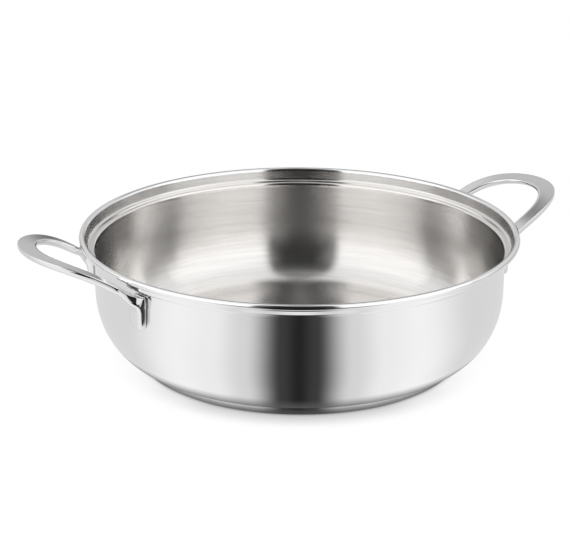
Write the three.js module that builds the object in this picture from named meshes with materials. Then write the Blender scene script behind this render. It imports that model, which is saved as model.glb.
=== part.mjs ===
// Two-handled saute pan: a drawn stainless bowl, an encapsulated base and two welded loop handles.
// Millimetres, +Z up, origin at the centre of the base's underside, handles along -X and +X.
import * as THREE from 'three';
import { mergeVertices } from 'three/addons/utils/BufferGeometryUtils.js';

// Bowl: one drawn sheet
const wallInnerRadius = 140;
const sheetThickness = 0.8;
const rimHeight = 89.4;
const cornerReach = 32;
const cornerRise = 45;

// Rim: shoulder that seats a lid, flared lip, and an edge rolled outwards into a bead
const shoulderWidth = 5.2;
const shoulderDrop = 4.6;
const shoulderEase = 0.75;
const lipHeight = 7;
const lipFlare = 1;
const beadRadius = 2.2;
const curlTurn = THREE.MathUtils.degToRad(300);

// Base: aluminium disc shut in by a steel cap
const capRadius = 113.3;
const capThickness = 0.7;
const capCornerRadius = 2.4;
const coreThickness = 4.4;
const coreClearance = 0.4;
const seamGap = 0.3;

// Handles: loop seen from above
const handleReach = 196.5;
const loopStart = 147.5;
const loopHalfWidth = 46.3;
const armWidth = 10.8;
const tipWidth = 12.4;
const innerEdgeRound = 1.2;
const innerEdgeRise = 0.7;

// Handles: side view, an arched top that levels out towards the tip
const archRadius = 110;
const tipHeight = 101;
const tipSlope = THREE.MathUtils.degToRad(6.5);
const armThickness = 5.2;
const tipThickness = 4.2;
const armFullness = 2.8;

// Handles: feet welded to the wall
const footAngle = THREE.MathUtils.degToRad(19.4);
const footWidth = 13.6;
const footThickness = 4.6;
const footFullness = 5;
const footBottom = 53.2;
const footTop = 77.4;
const footCornerRadius = 5;
const footEdgeRound = 1.6;
const footBackRound = 0.6;
const footFillet = 8;
const rootSquareness = 12;
const armSplay = THREE.MathUtils.degToRad(24);
const weldGap = 0.3;

// Facets
const roundSteps = 64;
const cornerSteps = 8;
const shoulderSteps = 5;
const beadSteps = 10;
const capCornerSteps = 2;
const sectionSteps = 12;
const edgeSteps = 2;
const footEndSteps = 4;
const filletSteps = 8;
const loopSteps = 18;
const mergeTolerance = 1e-4;

const wallOuterRadius = wallInnerRadius + sheetThickness;
const wallMidRadius = wallInnerRadius + sheetThickness / 2;
const bowlUnderside = capThickness + coreThickness;
const floorMid = bowlUnderside + sheetThickness / 2;

// Shapes shared by the pieces

// A closed profile turned about the Z axis, with its first coordinate as the radius.
function turned(profile) {
  const geometry = new THREE.LatheGeometry(profile, roundSteps);
  geometry.deleteAttribute('normal');
  geometry.deleteAttribute('uv');
  geometry.rotateX(Math.PI / 2);
  return mergeVertices(geometry, mergeTolerance);
}

// A sheet of even thickness whose middle follows the given points, starting on the axis.
function sheetProfile(middle, thickness) {
  const left = [];
  const right = [];
  middle.forEach((point, i) => {
    const before = middle[Math.max(i - 1, 0)];
    const after = middle[Math.min(i + 1, middle.length - 1)];
    const along = i === 0 ? new THREE.Vector2(1, 0) : after.clone().sub(before).normalize();
    const side = new THREE.Vector2(-along.y, along.x).multiplyScalar(thickness / 2);
    left.push(point.clone().add(side));
    right.push(point.clone().sub(side));
  });
  return [...right, ...left.reverse()];
}

// Bowl

// Height of the bowl's outer surface at a radius on its rounded lower corner.
function undersideAt(radius) {
  const flat = wallOuterRadius - cornerReach;
  const share = Math.max(radius - flat, 0) / cornerReach;
  return bowlUnderside + cornerRise * (1 - Math.sqrt(1 - share * share));
}

function bowlGeometry() {
  const half = sheetThickness / 2;
  const flatRadius = wallOuterRadius - cornerReach;
  const corner = new THREE.EllipseCurve(
    flatRadius, bowlUnderside + cornerRise,
    cornerReach - half, cornerRise - half,
    -Math.PI / 2, 0, false,
  );
  const beadMid = beadRadius - half;
  const beadHeight = rimHeight - beadRadius;
  const lipBottom = rimHeight - lipHeight;
  const lipRadius = wallMidRadius + shoulderWidth;
  const wallTop = lipBottom - shoulderDrop;
  const shoulder = new THREE.CubicBezierCurve(
    new THREE.Vector2(wallMidRadius, wallTop),
    new THREE.Vector2(wallMidRadius, wallTop + shoulderDrop * shoulderEase),
    new THREE.Vector2(lipRadius, lipBottom - shoulderDrop * shoulderEase),
    new THREE.Vector2(lipRadius, lipBottom),
  );
  const beadCentre = lipRadius + lipFlare + beadMid;
  const bead = new THREE.EllipseCurve(
    beadCentre, beadHeight, beadMid, beadMid,
    Math.PI, Math.PI - curlTurn, true,
  );
  const middle = [
    new THREE.Vector2(0, floorMid),
    ...corner.getPoints(cornerSteps),
    ...shoulder.getPoints(shoulderSteps),
    ...bead.getPoints(beadSteps),
  ];
  return turned(sheetProfile(middle, sheetThickness));
}

// Base

function baseCoreGeometry() {
  const radius = capRadius - capThickness - coreClearance;
  const round = capCornerRadius - capThickness;
  const profile = new THREE.Path();
  profile.moveTo(0, capThickness);
  profile.lineTo(radius - round, capThickness);
  profile.absarc(radius - round, capThickness + round, round, -Math.PI / 2, 0, false);
  profile.lineTo(radius, bowlUnderside);
  profile.lineTo(0, bowlUnderside);
  return turned(profile.getPoints(capCornerSteps));
}

function baseCapGeometry() {
  const inner = capRadius - capThickness;
  const innerRound = capCornerRadius - capThickness;
  const bend = capRadius - capCornerRadius;
  const profile = new THREE.Path();
  profile.moveTo(0, 0);
  profile.lineTo(bend, 0);
  profile.absarc(bend, capCornerRadius, capCornerRadius, -Math.PI / 2, 0, false);
  profile.lineTo(capRadius, undersideAt(capRadius) - seamGap);
  profile.lineTo(inner, undersideAt(inner) - seamGap);
  profile.lineTo(inner, capCornerRadius);
  profile.absarc(bend, capCornerRadius, innerRound, 0, -Math.PI / 2, true);
  profile.lineTo(0, capThickness);
  return turned(profile.getPoints(capCornerSteps));
}

// Handles
// A handle is lofted through sections. Each section is flat on the side that is the top of the loop and the
// back of a foot, from its outer edge to a rounded inner edge, and full on the other side.

function section(outer, inner, normal, thickness, fullness, innerRound) {
  const across = outer.clone().sub(inner).normalize();
  const square = normal.clone().addScaledVector(across, -normal.dot(across)).normalize();
  return { outer, inner, normal: square, thickness, fullness, innerRound };
}

// Height of the loop's arched top at a distance from the pan's axis.
function topAt(distance) {
  const archCentre = handleReach + archRadius * Math.sin(tipSlope);
  const run = archCentre - distance;
  return tipHeight - archRadius * Math.cos(tipSlope) + Math.sqrt(archRadius ** 2 - run * run);
}

// Angle at which the arched top rises there.
function slopeAt(distance) {
  return Math.asin((handleReach - distance) / archRadius + Math.sin(tipSlope));
}

// How far the top's inner edge stands above the arch, as a share of its full rise.
function innerRise(share) {
  return new THREE.Vector3(0, 0, innerEdgeRise * share);
}

function planDirection(angle) {
  return new THREE.Vector3(Math.cos(angle), Math.sin(angle), 0);
}

const seatRadius = wallOuterRadius + weldGap;
const footPlace = planDirection(footAngle).multiplyScalar(seatRadius);

// Foot: straight up the wall from a rounded lower end.
function footSections() {
  const outward = planDirection(footAngle);
  const across = planDirection(footAngle + Math.PI / 2);
  const list = [];
  for (let i = 0; i <= footEndSteps; i++) {
    const turn = (i / footEndSteps) * (Math.PI / 2);
    const halfWidth = footWidth / 2 - footCornerRadius * (1 - Math.sin(turn));
    const height = footBottom + footCornerRadius * (1 - Math.cos(turn));
    const thickness = footThickness - footEdgeRound * (1 - Math.sin(turn));
    const centre = footPlace.clone().setZ(height);
    list.push(section(
      centre.clone().addScaledVector(across, halfWidth),
      centre.clone().addScaledVector(across, -halfWidth),
      outward.clone().negate(), thickness, footFullness, footBackRound,
    ));
  }
  return list;
}

// Root: fans round the fillet between foot and arm while it turns from the wall towards the loop.
function rootSections() {
  const fanReach = footThickness + footFillet;
  const fanRise = armThickness + footFillet;
  const fanHeight = footTop - fanRise;
  const list = [];
  for (let i = 0; i <= filletSteps; i++) {
    const turn = (i / filletSteps) * (Math.PI / 2);
    const cos = Math.cos(turn);
    const sin = Math.sin(turn);
    const corner = (cos / fanReach) ** rootSquareness + (sin / fanRise) ** rootSquareness;
    const distance = corner ** (-1 / rootSquareness);
    const share = THREE.MathUtils.smoothstep(fanReach - distance * cos, 0, fanReach);
    const angle = THREE.MathUtils.lerp(footAngle, -armSplay, share);
    const width = THREE.MathUtils.lerp(footWidth, armWidth, share);
    const outward = planDirection(angle);
    const across = planDirection(angle + Math.PI / 2);
    const place = (length, side) => {
      const run = Math.max(fanReach - length * cos, 0);
      const point = footPlace.clone().addScaledVector(outward, run).addScaledVector(across, side);
      const lift = share * Math.max(topAt(point.x) - footTop, 0);
      return point.setZ(fanHeight + length * sin + lift);
    };
    const back = place(distance, 0);
    const front = place(footFillet, 0);
    list.push(section(
      place(distance, width / 2),
      place(distance, -width / 2).add(innerRise(share)),
      back.clone().sub(front), back.distanceTo(front),
      THREE.MathUtils.lerp(footFullness, armFullness, share),
      THREE.MathUtils.lerp(footBackRound, innerEdgeRound, share),
    ));
  }
  return list;
}

// Loop: outer and inner ellipse on the arched top, from the arm to the tip.
function loopSections() {
  const outerReach = handleReach - loopStart;
  const innerReach = outerReach - tipWidth;
  const innerHalfWidth = loopHalfWidth - armWidth;
  const onTop = (x, y) => new THREE.Vector3(x, y, topAt(x));
  const list = [];
  for (let i = 0; i <= loopSteps; i++) {
    const turn = (1 - i / loopSteps) * (Math.PI / 2);
    const cos = Math.cos(turn);
    const sin = Math.sin(turn);
    const outer = onTop(loopStart + outerReach * cos, loopHalfWidth * sin);
    const inner = onTop(loopStart + innerReach * cos, innerHalfWidth * sin).add(innerRise(1));
    const slope = slopeAt((outer.x + inner.x) / 2);
    const normal = new THREE.Vector3(-Math.sin(slope), 0, Math.cos(slope));
    const thickness = THREE.MathUtils.lerp(tipThickness, armThickness, sin);
    list.push(section(outer, inner, normal, thickness, armFullness, innerEdgeRound));
  }
  return list;
}

function mirrored(part) {
  const flip = (v) => new THREE.Vector3(v.x, -v.y, v.z);
  return section(
    flip(part.outer), flip(part.inner), flip(part.normal),
    part.thickness, part.fullness, part.innerRound,
  );
}

// Points round a section, from its outer edge under the full side and over its rounded inner edge.
function sectionRing(part) {
  const centre = part.outer.clone().add(part.inner).multiplyScalar(0.5);
  const across = part.outer.clone().sub(part.inner).normalize();
  const halfWidth = part.outer.distanceTo(part.inner) / 2;
  const at = (side, depth) =>
    centre.clone().addScaledVector(across, side).addScaledVector(part.normal, -depth);
  const ring = [];
  for (let i = 0; i <= sectionSteps; i++) {
    const turn = (i / sectionSteps) * Math.PI;
    const cos = Math.cos(turn);
    const side = Math.sign(cos) * Math.abs(cos) ** (2 / part.fullness) * halfWidth;
    const shallow = cos < 0 ? part.innerRound : 0;
    ring.push(at(side, shallow + Math.sin(turn) ** (2 / part.fullness) * (part.thickness - shallow)));
  }
  for (let i = 1; i <= edgeSteps; i++) {
    const turn = (i / edgeSteps) * (Math.PI / 2);
    const inset = part.innerRound * (1 - Math.cos(turn));
    ring.push(at(inset - halfWidth, part.innerRound * (1 - Math.sin(turn))));
  }
  return ring;
}

function lofted(sections) {
  const rings = sections.map(sectionRing);
  const count = rings[0].length;
  const positions = rings.flat().flatMap((p) => [p.x, p.y, p.z]);
  const index = [];
  for (let r = 0; r < rings.length - 1; r++) {
    for (let i = 0; i < count; i++) {
      const a = r * count + i;
      const b = r * count + ((i + 1) % count);
      index.push(a, b + count, b, a, a + count, b + count);
    }
  }
  const last = (rings.length - 1) * count;
  for (let i = 1; i < count - 1; i++) {
    index.push(0, i, i + 1);
    index.push(last, last + i + 1, last + i);
  }
  const geometry = new THREE.BufferGeometry();
  geometry.setAttribute('position', new THREE.Float32BufferAttribute(positions, 3));
  geometry.setIndex(index);
  return geometry;
}

function handleGeometry() {
  const half = [...footSections(), ...rootSections(), ...loopSections()];
  const otherHalf = half.slice(0, -1).map(mirrored).reverse();
  return lofted([...half, ...otherHalf]);
}

// Materials
const mirrorSteel = () => new THREE.MeshStandardMaterial({ color: 0xc9c8c5, roughness: 0.12, metalness: 1 });
const capSteel = () => new THREE.MeshStandardMaterial({ color: 0xbdbcb9, roughness: 0.22, metalness: 1 });
const coreAluminium = () => new THREE.MeshStandardMaterial({ color: 0xd0d1d2, roughness: 0.5, metalness: 1 });

function piece(name, geometry, material) {
  const mesh = new THREE.Mesh(geometry, material);
  mesh.name = name;
  return mesh;
}

// Assembly
const pan = new THREE.Group();
pan.name = 'saute_pan';
pan.add(piece('bowl', bowlGeometry(), mirrorSteel()));
pan.add(piece('base_core', baseCoreGeometry(), coreAluminium()));
pan.add(piece('base_cap', baseCapGeometry(), capSteel()));

const rightHandle = piece('handle_right', handleGeometry(), mirrorSteel());
pan.add(rightHandle);

const leftHandle = piece('handle_left', handleGeometry(), mirrorSteel());
leftHandle.rotation.z = Math.PI;
pan.add(leftHandle);

export default pan;
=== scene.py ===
import bmesh
import bpy
from math import cos, pi, radians, sin
from mathutils import Matrix, Vector


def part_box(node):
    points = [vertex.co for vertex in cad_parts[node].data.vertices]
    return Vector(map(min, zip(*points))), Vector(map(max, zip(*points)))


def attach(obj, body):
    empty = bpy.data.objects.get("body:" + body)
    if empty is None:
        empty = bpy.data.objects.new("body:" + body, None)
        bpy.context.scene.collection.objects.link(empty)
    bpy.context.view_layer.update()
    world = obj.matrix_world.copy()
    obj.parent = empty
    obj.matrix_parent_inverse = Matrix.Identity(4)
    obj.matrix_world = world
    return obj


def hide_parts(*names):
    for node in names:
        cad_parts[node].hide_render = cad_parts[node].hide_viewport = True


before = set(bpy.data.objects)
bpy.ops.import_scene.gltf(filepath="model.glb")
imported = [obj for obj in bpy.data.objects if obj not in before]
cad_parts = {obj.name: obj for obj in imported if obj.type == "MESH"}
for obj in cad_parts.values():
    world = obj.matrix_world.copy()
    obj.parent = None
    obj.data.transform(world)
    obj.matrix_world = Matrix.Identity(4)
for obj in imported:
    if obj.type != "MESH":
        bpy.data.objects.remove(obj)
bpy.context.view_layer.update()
scene = bpy.context.scene
print("frame loaded:", sorted(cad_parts))


# Camera, turned and shifted as in the photograph (metres, degrees)
view = {
    "azimuth": -24.4, "elevation": 20.48, "roll": 0.339,
    "distance": 1.1842, "aimHeight": 0.0404,
    "focalPixels": 1700, "centreX": 299.28, "centreY": 294.86,  # in pixels of the picture
    "pictureWidth": 570, "pictureHeight": 554, "sensor": 36,
}
azimuth = radians(view["azimuth"])
frontward = Vector((sin(azimuth), -cos(azimuth), 0))  # from the axis towards the camera, level
rightward = Vector((cos(azimuth), sin(azimuth), 0))


def makeCamera():
    lift = radians(view["elevation"])
    back = frontward * cos(lift) + Vector((0, 0, sin(lift)))
    data = bpy.data.cameras.new("camera")
    data.sensor_width = view["sensor"]
    data.sensor_fit = "HORIZONTAL"
    data.lens = view["focalPixels"] * view["sensor"] / view["pictureWidth"]
    data.shift_x = (view["pictureWidth"] / 2 - view["centreX"]) / view["pictureWidth"]
    data.shift_y = (view["centreY"] - view["pictureHeight"] / 2) / view["pictureWidth"]
    camera = bpy.data.objects.new("camera", data)
    scene.collection.objects.link(camera)
    turn = back.to_track_quat("Z", "Y").to_matrix().to_4x4()
    place = Matrix.Translation(Vector((0, 0, view["aimHeight"])) + back * view["distance"])
    camera.matrix_world = place @ turn @ Matrix.Rotation(radians(view["roll"]), 4, "Z")
    scene.camera = camera


makeCamera()
print("camera placed")


# Shader maths: a wire is one output socket, and arithmetic on wires adds Math nodes
class Wire:
    def __init__(self, tree, socket=None):
        self.tree = tree
        self.socket = socket

    def node(self, kind, settings=None, inputs=None, output=0):
        made = self.tree.nodes.new(kind)
        for name, value in (settings or {}).items():
            if name == "stops":
                fillRamp(made.color_ramp, value)
            elif name == "easing":
                made.color_ramp.interpolation = value
            else:
                setattr(made, name, value)
        for name, value in (inputs or {}).items():
            self.plug(made.inputs[name], value)
        return Wire(self.tree, made.outputs[output])

    def plug(self, target, value):
        if isinstance(value, Wire):
            self.tree.links.new(value.socket, target)
        else:
            target.default_value = value

    def math(self, operation, *values):
        return self.node("ShaderNodeMath", {"operation": operation}, dict(enumerate(values)))

    def __add__(self, other):
        return self.math("ADD", self, other)

    def __radd__(self, other):
        return self.math("ADD", other, self)

    def __sub__(self, other):
        return self.math("SUBTRACT", self, other)

    def __rsub__(self, other):
        return self.math("SUBTRACT", other, self)

    def __mul__(self, other):
        return self.math("MULTIPLY", self, other)

    def __rmul__(self, other):
        return self.math("MULTIPLY", other, self)

    def __truediv__(self, other):
        return self.math("DIVIDE", self, other)

    def __pow__(self, other):
        return self.math("POWER", self, other)

    def __abs__(self):
        return self.math("ABSOLUTE", self)

    def parts(self):
        made = self.node("ShaderNodeSeparateXYZ", None, {"Vector": self})
        return [Wire(self.tree, socket) for socket in made.socket.node.outputs]


def grey(tone):
    return (tone, tone, tone, 1)


def fillRamp(ramp, stops):
    while len(ramp.elements) < len(stops):
        ramp.elements.new(1.0)
    for element, (place, tone) in zip(ramp.elements, stops):
        element.position = place
        element.color = grey(tone)


# A metal: its tree starts with one Principled shader, and the maker of the finish wires it up
def newMetal(name, **constants):
    material = bpy.data.materials.new(name)
    material.use_nodes = True
    shader = material.node_tree.nodes["Principled BSDF"]
    shader.inputs["Metallic"].default_value = 1
    for socket, value in constants.items():
        shader.inputs[socket.replace("_", " ")].default_value = value
    return material, shader, Wire(material.node_tree)


def objectCoordinates(wire):
    return wire.node("ShaderNodeTexCoord", output="Object")


def radiusOf(wire, x, y):
    return wire.math("SQRT", x * x + y * y)


def noise(wire, vector, scale, detail, roughness=0.5):
    inputs = {"Vector": vector, "Scale": scale, "Detail": detail, "Roughness": roughness}
    return wire.node("ShaderNodeTexNoise", None, inputs)


def mixed(first, second, share):  # share is how much of the second there is
    return first * (1 - share) + second * share


def spread(wire, value, low, high):  # a 0 to 1 value to the range low to high
    inputs = {"Value": value, "To Min": low, "To Max": high}
    return wire.node("ShaderNodeMapRange", None, inputs)


def tint(wire, factor, dark, light):
    inputs = {"Factor": factor, 6: dark, 7: light}
    return wire.node("ShaderNodeMix", {"data_type": "RGBA"}, inputs, output=2)


def step(wire, value, edge, softness):  # 0 below the edge, 1 above it
    inputs = {"Value": value, "From Min": edge - softness / 2, "From Max": edge + softness / 2}
    return wire.node("ShaderNodeMapRange", {"interpolation_type": "SMOOTHSTEP"}, inputs)


def bump(wire, height, strength, distance):
    inputs = {"Height": height, "Strength": strength, "Distance": distance}
    return wire.node("ShaderNodeBump", None, inputs)


# Brushing that runs round the pan's axis: noise in radius and height, little along the circle
def roundBrushing(wire, across, along, detail, roughness=0.5):
    x, y, z = objectCoordinates(wire).parts()
    angle = wire.math("ARCTAN2", y, x)
    inputs = {"X": radiusOf(wire, x, y) * across, "Y": z * across, "Z": angle * along}
    rings = wire.node("ShaderNodeCombineXYZ", None, inputs)
    return noise(wire, rings, 1.0, detail, roughness)


# Outside of the bowl: mirror polish with a slight haze
polish = {
    "dark": grey(0.86), "light": grey(0.9), "roughness": (0.03, 0.075),
    "cloudScale": 22.0, "hazeLines": 900.0, "hazeArc": 3.0, "hazeShare": 0.5, "detail": 3.0,
}


def mirrorSteel():
    material, shader, wire = newMetal("mirrorSteel")
    cloud = noise(wire, objectCoordinates(wire), polish["cloudScale"], polish["detail"])
    haze = roundBrushing(wire, polish["hazeLines"], polish["hazeArc"], polish["detail"])
    dull = mixed(cloud, haze, polish["hazeShare"])
    wire.plug(shader.inputs["Base Color"], tint(wire, cloud, polish["dark"], polish["light"]))
    wire.plug(shader.inputs["Roughness"], spread(wire, dull, *polish["roughness"]))
    return material


# Inside of the bowl: fine brushing, over broader brushing and shallow grooves, with painted shade
# on the flat floor and the lip
satin = {
    "dark": (0.65, 0.635, 0.62, 1), "light": (0.91, 0.895, 0.88, 1),
    "roughness": (0.2, 0.212), "stretch": 1.0, "quarterTurn": 0.25,
    "lines": 1700.0, "arc": 7.0, "detail": 3.0, "fineness": 0.6,
    "broader": 3.0, "broadShare": 0.65,  # how much wider and longer the broad brushing is
    "grooveWider": 2.5, "grooveLonger": 4.0, "grooveStrength": 0.3, "grooveDepth": 0.00002,
    "floorReach": 0.1185, "floorBlend": 0.005, "floorPaintedShade": 0.74,  # painted shade: the flat floor's colour is darkened in place of the darker reflection it shows
    "lipHeight": 0.0815, "lipBlend": 0.001, "lipPaintedShade": 0.84,  # painted shade: the lip's colour is darkened too
    "ledgeHeight": 0.0765, "ledgeBlend": 0.002, "ledgeGloss": 0.1,  # the lid's ledge is smoother
}


def satinSteel():
    material, shader, wire = newMetal(
        "satinSteel", Anisotropic=satin["stretch"], Anisotropic_Rotation=satin["quarterTurn"])
    lines, arc, broader = satin["lines"], satin["arc"], satin["broader"]
    fine = roundBrushing(wire, lines, arc, satin["detail"], satin["fineness"])
    broad = roundBrushing(wire, lines / broader, arc / broader, satin["detail"])
    grain = mixed(fine, broad, satin["broadShare"])
    groove = roundBrushing(wire, lines / satin["grooveWider"], arc / satin["grooveLonger"], 0.0)

    x, y, z = objectCoordinates(wire).parts()
    wall = step(wire, radiusOf(wire, x, y), satin["floorReach"], satin["floorBlend"])
    lip = step(wire, z, satin["lipHeight"], satin["lipBlend"])
    ledge = step(wire, z, satin["ledgeHeight"], satin["ledgeBlend"]) * (1 - lip)
    # painted shade: the colour is darkened on the flat floor and on the lip
    light = satin["floorPaintedShade"] + (1 - satin["floorPaintedShade"]) * wall
    light = light * (1 - (1 - satin["lipPaintedShade"]) * lip)
    dull = 1 - satin["ledgeGloss"] / satin["roughness"][0] * ledge

    steel = tint(wire, grain, satin["dark"], satin["light"])
    wire.plug(shader.inputs["Base Color"], tint(wire, light, grey(0), steel))
    wire.plug(shader.inputs["Roughness"], spread(wire, grain, *satin["roughness"]) * dull)
    relief = bump(wire, groove, satin["grooveStrength"], satin["grooveDepth"])
    wire.plug(shader.inputs["Normal"], relief)
    return material


# Cap: spun steel; its colour is set darker than the bowl's, partly as painted shade for the dark
# contact shadow that its edge reflects
spun = {
    "dark": grey(0.62), "light": grey(0.74), "roughness": (0.16, 0.26),
    "stretch": 0.6, "quarterTurn": 0.25,
    "lines": 1500.0, "arc": 2.0, "detail": 3.0, "fineness": 0.6,
    "ringStrength": 0.25, "ringDepth": 0.00002,
}


def capSteel():
    material, shader, wire = newMetal(
        "capSteel", Anisotropic=spun["stretch"], Anisotropic_Rotation=spun["quarterTurn"])
    rings = roundBrushing(wire, spun["lines"], spun["arc"], spun["detail"], spun["fineness"])
    wire.plug(shader.inputs["Base Color"], tint(wire, rings, spun["dark"], spun["light"]))
    wire.plug(shader.inputs["Roughness"], spread(wire, rings, *spun["roughness"]))
    relief = bump(wire, rings, spun["ringStrength"], spun["ringDepth"])
    wire.plug(shader.inputs["Normal"], relief)
    return material


# Core: rolled aluminium, with lines along X
rolled = {
    "dark": grey(0.78), "light": grey(0.88), "roughness": (0.35, 0.55),
    "along": 40, "across": 1800, "detail": 3.0,
}


def coreAluminium():
    material, shader, wire = newMetal("coreAluminium")
    x, y, z = objectCoordinates(wire).parts()
    across = rolled["across"]
    inputs = {"X": x * rolled["along"], "Y": y * across, "Z": z * across}
    lines = noise(wire, wire.node("ShaderNodeCombineXYZ", None, inputs), 1.0, rolled["detail"])
    wire.plug(shader.inputs["Base Color"], tint(wire, lines, rolled["dark"], rolled["light"]))
    wire.plug(shader.inputs["Roughness"], spread(wire, lines, *rolled["roughness"]))
    return material


# Handles: polished sides and satin tops
cast = {
    "dark": grey(0.8), "light": grey(0.86),
    "sideRoughness": (0.05, 0.1), "topRoughness": (0.16, 0.26),
    "cloudScale": 60.0, "cloudDetail": 3.0,
    "scratchScale": 900.0, "scratchDetail": 4.0, "scratchFineness": 0.7, "scratchShare": 0.4,
    "scratchStrength": 0.08, "scratchDepth": 0.00001,
}


def handleSteel(name, roughness):
    material, shader, wire = newMetal(name)
    place = objectCoordinates(wire)
    cloud = noise(wire, place, cast["cloudScale"], cast["cloudDetail"])
    scratch = noise(
        wire, place, cast["scratchScale"], cast["scratchDetail"], cast["scratchFineness"])
    dull = mixed(cloud, scratch, cast["scratchShare"])
    wire.plug(shader.inputs["Base Color"], tint(wire, cloud, cast["dark"], cast["light"]))
    wire.plug(shader.inputs["Roughness"], spread(wire, dull, *roughness))
    relief = bump(wire, scratch, cast["scratchStrength"], cast["scratchDepth"])
    wire.plug(shader.inputs["Normal"], relief)
    return material


finishes = {
    "mirror": mirrorSteel(), "satin": satinSteel(), "cap": capSteel(), "core": coreAluminium(),
    "handleSide": handleSteel("handleSide", cast["sideRoughness"]),
    "handleTop": handleSteel("handleTop", cast["topRoughness"]),
}
print("finishes made:", len(finishes))


# Turned pieces: a profile is drawn point by point in the X-Z plane, then spun about the axis
turned = {"steps": 192, "weld": 1e-6}


def startProfile(bm, radius, height):
    return bm.verts.new((radius, 0, height))


def lineTo(bm, vert, radius, height):
    made = bmesh.ops.extrude_vert_indiv(bm, verts=[vert])["verts"][0]
    made.co = (radius, 0, height)
    return made


def arcBy(bm, vert, centreRadius, centreHeight, turn, steps):  # degrees, upwards from +X
    made = bmesh.ops.spin(
        bm, geom=[vert], cent=(centreRadius, 0, centreHeight), axis=(0, -1, 0),
        angle=radians(turn), steps=steps, use_duplicate=False)
    return made["geom_last"][0]


def spinProfile(bm, upwards):  # upwards is the side that the face on the axis points to
    bmesh.ops.spin(
        bm, geom=bm.verts[:] + bm.edges[:], cent=(0, 0, 0), axis=(0, 0, 1),
        angle=2 * pi, steps=turned["steps"], use_merge=True)
    bmesh.ops.remove_doubles(bm, verts=bm.verts, dist=turned["weld"])
    bmesh.ops.recalc_face_normals(bm, faces=bm.faces)
    centre = min(bm.faces, key=lambda face: face.calc_center_median().length)
    if (centre.normal.z > 0) != upwards:
        bmesh.ops.reverse_faces(bm, faces=bm.faces)


def newPiece(name, bm, materials, smoothAngle=40):
    mesh = bpy.data.meshes.new(name)
    bm.to_mesh(mesh)
    bm.free()
    for material in materials:
        mesh.materials.append(material)
    mesh.shade_smooth()
    mesh.set_sharp_from_angle(angle=radians(smoothAngle))
    piece = bpy.data.objects.new(name, mesh)
    scene.collection.objects.link(piece)
    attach(piece, "root")
    return piece


# Bowl: the inside of the sheet is drawn, from the floor's middle to the end of the curl
bowl = {
    "wall": 0.14, "sheet": 0.0008,
    "cornerReach": 0.0312, "cornerRise": 0.0442, "cornerSteps": 24,
    "shoulderRound": 0.0022, "shoulderTurn": 78, "shoulderLift": 0.0008, "shoulderSteps": 8,
    "ledge": 0.00175, "lip": 0.0056, "bead": 0.0022, "curl": 300, "curlSteps": 30,
}


def drawBowl(bm):
    low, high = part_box("bowl")
    floor = low.z + bowl["sheet"]
    flat = bowl["wall"] - bowl["cornerReach"]
    pen = startProfile(bm, 0, floor)
    pen = lineTo(bm, pen, flat, floor)
    before = set(bm.verts)
    pen = arcBy(bm, pen, flat, floor + bowl["cornerReach"], 90, bowl["cornerSteps"])
    corner = [vert for vert in bm.verts if vert not in before]
    stretch = (1, 1, bowl["cornerRise"] / bowl["cornerReach"])
    bmesh.ops.scale(bm, vec=stretch, verts=corner, space=Matrix.Translation((0, 0, -floor)))

    turn, bend, ledge = bowl["shoulderTurn"], bowl["shoulderRound"], bowl["ledge"]
    steps, slope = bowl["shoulderSteps"], radians(90 - turn)
    beadHeight, beadStart = high.z - bowl["bead"], high.x - 2 * bowl["bead"]
    rise = 2 * bend * sin(radians(turn)) + ledge * cos(radians(turn))
    pen = lineTo(bm, pen, bowl["wall"], beadHeight - bowl["lip"] - rise + bowl["shoulderLift"])
    pen = arcBy(bm, pen, pen.co.x + bend, pen.co.z, -turn, steps)
    pen = lineTo(bm, pen, pen.co.x + ledge * cos(slope), pen.co.z + ledge * sin(slope))
    centre = Vector((pen.co.x - bend * sin(slope), 0, pen.co.z + bend * cos(slope)))
    pen = arcBy(bm, pen, centre.x, centre.z, turn, steps)
    pen = lineTo(bm, pen, beadStart, beadHeight)
    arcBy(bm, pen, beadStart + bowl["bead"], beadHeight, -bowl["curl"], bowl["curlSteps"])


def makeBowl():
    bm = bmesh.new()
    drawBowl(bm)
    spinProfile(bm, True)
    bmesh.ops.solidify(bm, geom=bm.faces[:], thickness=bowl["sheet"])
    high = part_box("bowl")[1]
    satinTop, satinReach = high.z - bowl["bead"], high.x - 2 * bowl["bead"]
    for face in bm.faces:  # the inside, up to the bead, is satin
        middle = face.calc_center_median()
        inward = face.normal.z - face.normal.dot(Vector((middle.x, middle.y, 0)).normalized())
        below = middle.z < satinTop and middle.to_2d().length < satinReach
        face.material_index = int(inward > 0 and below)
    piece = newPiece("bowlBody", bm, [finishes["mirror"], finishes["satin"]])
    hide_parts("bowl")


makeBowl()
print("bowl spun")


# Cap: its outside is drawn, and its upper edge is rounded off
cap = {
    "sheet": 0.0007, "round": 0.0024, "roundSteps": 10, "edge": 0.0003, "edgeSegments": 3,
    "heightReach": 1e-5, "radiusReach": 1e-4,  # how close to the top and side its edge is
}


def isCapEdge(point, high):
    onTop = point.z > high.z - cap["heightReach"]
    return onTop and point.to_2d().length > high.x - cap["radiusReach"]


def makeCap():
    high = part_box("base_cap")[1]
    bm = bmesh.new()
    pen = startProfile(bm, 0, 0)
    pen = lineTo(bm, pen, high.x - cap["round"], 0)
    pen = arcBy(bm, pen, high.x - cap["round"], cap["round"], 90, cap["roundSteps"])
    lineTo(bm, pen, high.x, high.z)
    spinProfile(bm, False)
    bmesh.ops.solidify(bm, geom=bm.faces[:], thickness=cap["sheet"])
    edges = [edge for edge in bm.edges if all(isCapEdge(vert.co, high) for vert in edge.verts)]
    bmesh.ops.bevel(
        bm, geom=edges, offset=cap["edge"], offset_type="OFFSET", affect="EDGES",
        segments=cap["edgeSegments"], profile=0.5, material=-1)
    piece = newPiece("baseCap", bm, [finishes["cap"]])
    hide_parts("base_cap")


makeCap()
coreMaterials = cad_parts["base_core"].data.materials
coreMaterials.clear()
coreMaterials.append(finishes["core"])
print("base made")


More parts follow.
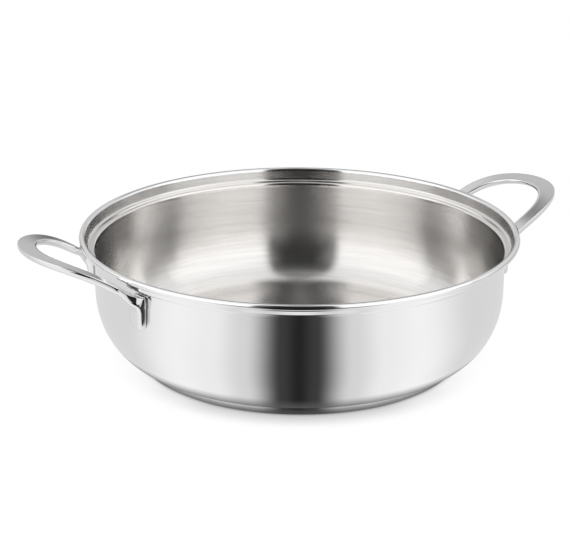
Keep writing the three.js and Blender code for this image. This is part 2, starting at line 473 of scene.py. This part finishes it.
# Handles: a merged copy of the casting, rounded by subdivision (angles in degrees)
handle = {
    "weld": 2e-6, "joinBend": 60, "joinShape": 75, "sharp": 50, "crease": 0.75,
    "flatWidth": 0.006, "cuts": 3, "levels": 2, "smoothAngle": 180,
}


def makeHandle(node, name):
    bm = bmesh.new()
    bm.from_mesh(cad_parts[node].data)
    bmesh.ops.remove_doubles(bm, verts=bm.verts, dist=handle["weld"])
    bmesh.ops.join_triangles(
        bm, faces=bm.faces, angle_face_threshold=radians(handle["joinBend"]),
        angle_shape_threshold=radians(handle["joinShape"]))
    crease = bm.edges.layers.float.new("crease_edge")
    for edge in bm.edges:
        if len(edge.link_faces) == 2 and edge.calc_face_angle() > radians(handle["sharp"]):
            edge[crease] = handle["crease"]
    wide = [edge for edge in bm.edges if edge.calc_length() > handle["flatWidth"]]
    top = {face for edge in wide for face in edge.link_faces}
    for face in top:
        face.material_index = 1
    bmesh.ops.subdivide_edges(bm, edges=wide, cuts=handle["cuts"], use_grid_fill=True)
    materials = [finishes["handleSide"], finishes["handleTop"]]
    piece = newPiece(name, bm, materials, handle["smoothAngle"])
    smooth = piece.modifiers.new("smooth", "SUBSURF")
    smooth.levels = smooth.render_levels = handle["levels"]
    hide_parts(node)


makeHandle("handle_right", "handleRight")
makeHandle("handle_left", "handleLeft")
print("handles made")


# Studio: a white set for the camera, and dark areas that only the polished steel shows.
# Tones go by the angle from the front: 0 towards the camera, 1 away from it.
def alongView(x, y):
    return x * frontward.x + y * frontward.y, x * rightward.x + y * rightward.y


def angleFromFront(wire, ahead, aside):
    return abs(wire.math("ARCTAN2", aside, ahead)) / pi


def seenDirectly(wire):
    return wire.node("ShaderNodeLightPath", output="Is Camera Ray")


def ramp(wire, factor, stops):
    settings = {"stops": stops, "easing": "EASE"}
    return wire.node("ShaderNodeValToRGB", settings, {"Fac": factor})


studioFloor = {
    "size": 4.0,
    "shadowReach": 0.016, "shadowTones": [
        (0, 0.62), (0.15, 0.55), (0.25, 0.33), (0.34, 0.16), (0.42, 0.08), (0.6, 0.3), (1, 0.5)],
    "contactReach": 0.004, "contactTone": 0.5,
    "falloff": 2, "darkest": 0.04, "coverSamples": 16,
    "tones": [
        (0, 0.02), (0.03, 0.05), (0.093, 0.74), (0.15, 0.94), (0.22, 1.0), (0.36, 0.75), (1, 0.7)],
    "bandKeep": 0.7,  # so that the dark band keeps its width on the wall
    "front": 0.318, "frontBlend": 0.012,  # beyond the table's front the room is dark
    "roomHalfWidth": 0.24, "roomBlend": 0.06, "roomShade": 0.97,
    "backCard": 0.9, "backCardBlend": 0.12, "backCardShade": 0.9,  # a dark card behind the pan
    "reflectedReach": 0.0125, "reflectedTone": 0.11,  # the steel shows the contact shadow deeper
}


def covered(wire, reach):  # 0 in the open, 1 right under the object
    settings = {"samples": studioFloor["coverSamples"]}
    return 1 - wire.node("ShaderNodeAmbientOcclusion", settings, {"Distance": reach}, output="AO")


def floorSeen(wire, angle):  # by the camera
    falloff = studioFloor["falloff"]
    tones = ramp(wire, angle, studioFloor["shadowTones"])
    shadow = covered(wire, studioFloor["shadowReach"]) ** falloff * tones
    contact = covered(wire, studioFloor["contactReach"]) ** falloff * studioFloor["contactTone"]
    return wire.math("MAXIMUM", 1 - shadow - contact, studioFloor["darkest"])


def floorReflected(wire, radius, ahead, aside, angle):  # in the steel
    wall = wire.math("MINIMUM", radius / (2 * radius - bowl["wall"]), 1)
    table = ramp(wire, angle * wall ** studioFloor["bandKeep"], studioFloor["tones"])
    beyond = step(wire, ahead, studioFloor["front"], studioFloor["frontBlend"])
    beside = step(wire, abs(aside), studioFloor["roomHalfWidth"], studioFloor["roomBlend"])
    behind = step(wire, angle, studioFloor["backCard"], studioFloor["backCardBlend"])
    table = table * (1 - studioFloor["roomShade"] * (beyond * (1 - beside)))
    table = table * (1 - studioFloor["backCardShade"] * behind)
    near = covered(wire, studioFloor["reflectedReach"])
    return table * (1 - near) + studioFloor["reflectedTone"] * near


def floorMaterial():
    material = bpy.data.materials.new("studioFloor")
    material.use_nodes = True
    tree = material.node_tree
    tree.nodes.remove(tree.nodes["Principled BSDF"])
    wire = Wire(tree)
    x, y, z = objectCoordinates(wire).parts()
    ahead, aside = alongView(x, y)
    angle = angleFromFront(wire, ahead, aside)
    direct = seenDirectly(wire)
    reflected = floorReflected(wire, radiusOf(wire, x, y), ahead, aside, angle)
    tone = direct * floorSeen(wire, angle) + (1 - direct) * reflected
    light = wire.node("ShaderNodeEmission", None, {"Color": tone, "Strength": 1})
    wire.plug(tree.nodes["Material Output"].inputs["Surface"], light)
    return material


def makeFloor():
    bm = bmesh.new()
    bmesh.ops.create_grid(bm, x_segments=1, y_segments=1, size=studioFloor["size"])
    mesh = bpy.data.meshes.new("studioFloor")
    bm.to_mesh(mesh)
    bm.free()
    mesh.materials.append(floorMaterial())
    floor = bpy.data.objects.new("studioFloor", mesh)
    scene.collection.objects.link(floor)


# Heights in the sky are sines of the elevation
studioSky = {
    "lowTones": [
        (0, 0.02), (0.11, 0.02), (0.13, 0.95), (0.4, 1.0), (0.47, 0.2), (0.53, 0.2), (0.57, 0.6),
        (0.64, 0.25), (0.8, 0.25), (0.86, 0.45), (0.92, 0.4), (0.96, 0.12), (1, 0.12)],
    "highTones": [
        (0, 0.02), (0.095, 0.02), (0.125, 1.0), (0.6, 1.0),
        (0.7, 0.75), (0.9, 0.75), (0.95, 0.6), (1, 0.6)],
    "turn": (0.04, 0.2),  # where the low sky becomes the high one
    "highCard": (0.6, 0.88), "highCardReach": 0.78,  # a dark card high up behind the pan
    "highCardBlend": 0.08, "highCardShade": 0.75,
    "overhead": 0.95, "overheadBlend": 0.06, "overheadTone": 0.32,  # lighter than the dark front
    "aside": 0.038, "lean": 0.28,  # turns the dark front aside, and keeps its width higher up
    "deepTones": [
        (0, 0.3), (0.07, 0.06), (0.12, 0.06), (0.16, 1.7), (0.715, 1.7), (0.775, 0.03), (1, 0.03)],
    "deepBounces": 2.5, "bounceBlend": 0.5,  # the satin wall meets these by way of floor and front
    "lateBounces": 4.5, "lateShade": 0.85,  # and what comes still later is darker
}


def skyAtFirst(wire, angle, z):
    low = ramp(wire, angle, studioSky["lowTones"])
    high = ramp(wire, angle, studioSky["highTones"])
    start, end = studioSky["turn"]
    lift = step(wire, z, (start + end) / 2, end - start)
    bottom, top = studioSky["highCard"]
    blend = studioSky["highCardBlend"]
    card = step(wire, z, bottom, blend) * (1 - step(wire, z, top, blend))
    card = card * step(wire, angle, studioSky["highCardReach"], blend)
    high = high * (1 - studioSky["highCardShade"] * card)
    overhead = step(wire, z, studioSky["overhead"], studioSky["overheadBlend"])
    ceiling = studioSky["overheadTone"] * overhead
    return wire.math("MAXIMUM", low + (high - low) * lift, ceiling)


def skyAfterBounces(wire, angle, depth):
    late = step(wire, depth, studioSky["lateBounces"], studioSky["bounceBlend"])
    return ramp(wire, angle, studioSky["deepTones"]) * (1 - studioSky["lateShade"] * late)


def makeSky():
    world = bpy.data.worlds.new("studioSky")
    world.use_nodes = True
    scene.world = world
    wire = Wire(world.node_tree)
    x, y, z = wire.node("ShaderNodeTexCoord", output="Generated").parts()
    ahead, aside = alongView(x, y)
    leaned, swung = ahead + studioSky["lean"] * z, aside + studioSky["aside"] * ahead
    angle = angleFromFront(wire, leaned, swung)
    direct = seenDirectly(wire)
    depth = wire.node("ShaderNodeLightPath", output="Ray Depth")
    deep = step(wire, depth, studioSky["deepBounces"], studioSky["bounceBlend"])
    first, later = skyAtFirst(wire, angle, z), skyAfterBounces(wire, angle, depth)
    tone = direct + (1 - direct) * (first * (1 - deep) + later * deep)
    backdrop = world.node_tree.nodes["Background"]
    wire.plug(backdrop.inputs["Color"], tone)
    backdrop.inputs["Strength"].default_value = 1


# Lamps: the camera doesn't see them, and they face away from the given direction
def makeLamp(name, place, away, width, height, radiance):
    data = bpy.data.lights.new(name, "AREA")
    data.shape = "RECTANGLE"
    data.size, data.size_y = width, height
    data.energy = radiance * pi * width * height
    lamp = bpy.data.objects.new(name, data)
    lamp.visible_camera = False
    scene.collection.objects.link(lamp)
    turn = away.to_track_quat("Z", "Y").to_matrix().to_4x4()
    lamp.matrix_world = Matrix.Translation(place) @ turn


def aroundPan(aside):  # a level direction, in degrees to the right of the camera
    return frontward * cos(radians(aside)) + rightward * sin(radians(aside))


# Softboxes: two large lamps in front, left and right of the camera
softbox = {
    "aside": 59, "lift": 33, "distance": 1.3, "width": 1.65, "height": 1.15, "radiance": 0.3,
}


def makeSoftbox(side):
    lift = radians(softbox["lift"])
    towards = aroundPan(side * softbox["aside"]) * cos(lift) + Vector((0, 0, sin(lift)))
    place = towards * softbox["distance"]
    makeLamp(
        "softbox", place, place, softbox["width"], softbox["height"], softbox["radiance"])


# A row of small lamps before the rim, so that the lip doesn't show the dark floor
rimLamps = {
    "radius": 0.155, "height": 0.0766, "tall": 0.0098,
    "spread": 36, "count": 60, "radiance": 0.85,  # spread in degrees
}


def makeRimLamps():
    pitch = rimLamps["spread"] / rimLamps["count"]
    width = rimLamps["radius"] * radians(pitch)
    for number in range(rimLamps["count"]):
        aside = (number + 0.5) * pitch - rimLamps["spread"] / 2
        outward = aroundPan(aside) * rimLamps["radius"]
        place = outward + Vector((0, 0, rimLamps["height"]))
        fade = cos(pi * aside / rimLamps["spread"]) ** 2  # off where the floor is light again
        makeLamp("rimLamp", place, outward, width, rimLamps["tall"], rimLamps["radiance"] * fade)


makeSoftbox(-1)
makeSoftbox(1)
makeRimLamps()
makeFloor()
makeSky()
scene.view_settings.view_transform = "Standard"
print("studio set")
